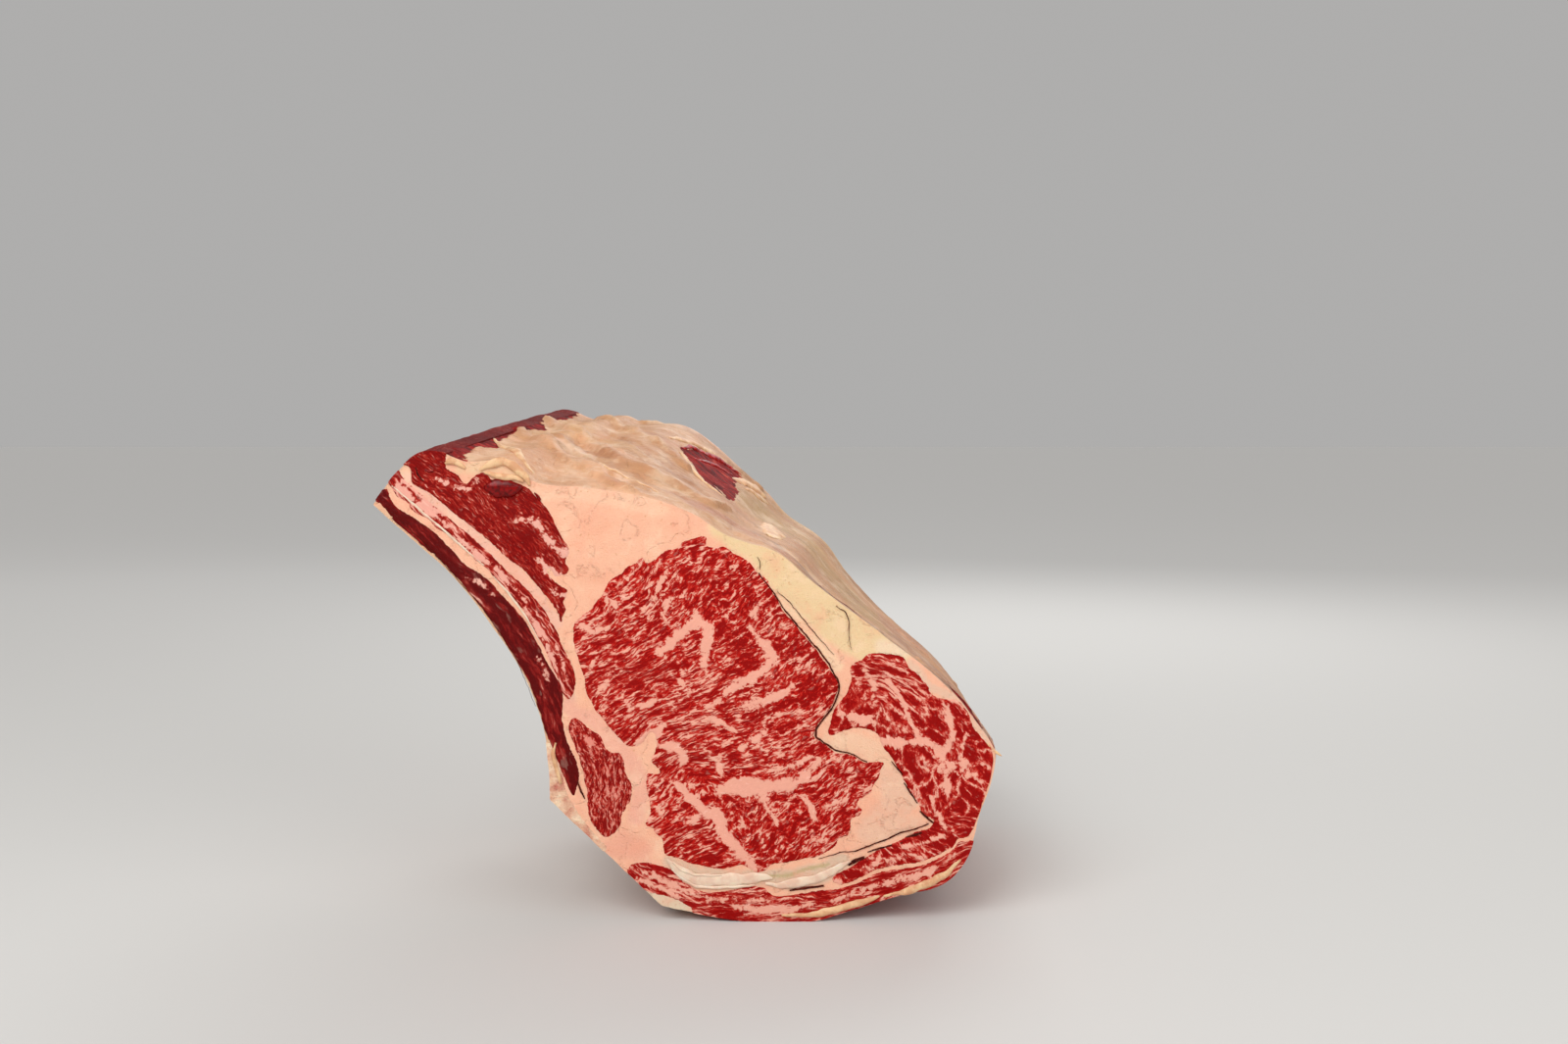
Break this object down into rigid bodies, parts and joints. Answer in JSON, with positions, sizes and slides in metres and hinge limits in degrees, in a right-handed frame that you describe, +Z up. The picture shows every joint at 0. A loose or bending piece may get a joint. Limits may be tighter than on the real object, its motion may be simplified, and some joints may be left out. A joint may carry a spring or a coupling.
{
  "type": "beef rib roast",
  "caption": "Raw bone-in beef rib roast, a thick cut section with marbled eye and cap muscles, outer fat, tail end and ribs on its inner side.",
  "frame": {"origin": "centre of the bounding box, at the level of the surface that the roast rests on", "axes": "+Z up; the front cut face looks along -Y and the back cut face along +Y; +X runs from the tail end to the cap side; the chine cut is low on the -X side"},
  "size_m": [0.278, 0.16, 0.2253],
  "materials": {
    "fat": "creamy pink and tan beef fat, slightly waxy, with membrane streaks on the outer side",
    "eye_lean": "bright red marbled lean, moist",
    "cap_lean": "bright red coarsely marbled lean, moist",
    "tail_lean": "brownish red lean, moist",
    "rib_lean": "dark maroon lean between the ribs, wet",
    "bone": "sawn raw bone, pale tan with a pink tinge"
  },
  "bodies": {
    "root": {"fat_body": "fat", "eye_muscle": "eye_lean", "cap_muscle": "cap_lean", "chine_muscle": "cap_lean", "bottom_muscle": "cap_lean", "tail_muscle": "tail_lean", "tail_strip": "tail_lean", "rib_meat": "rib_lean", "rib_1": "bone", "rib_2": "bone", "rib_3": "bone", "chine_bone": "bone"}
  },
  "joints": []
}
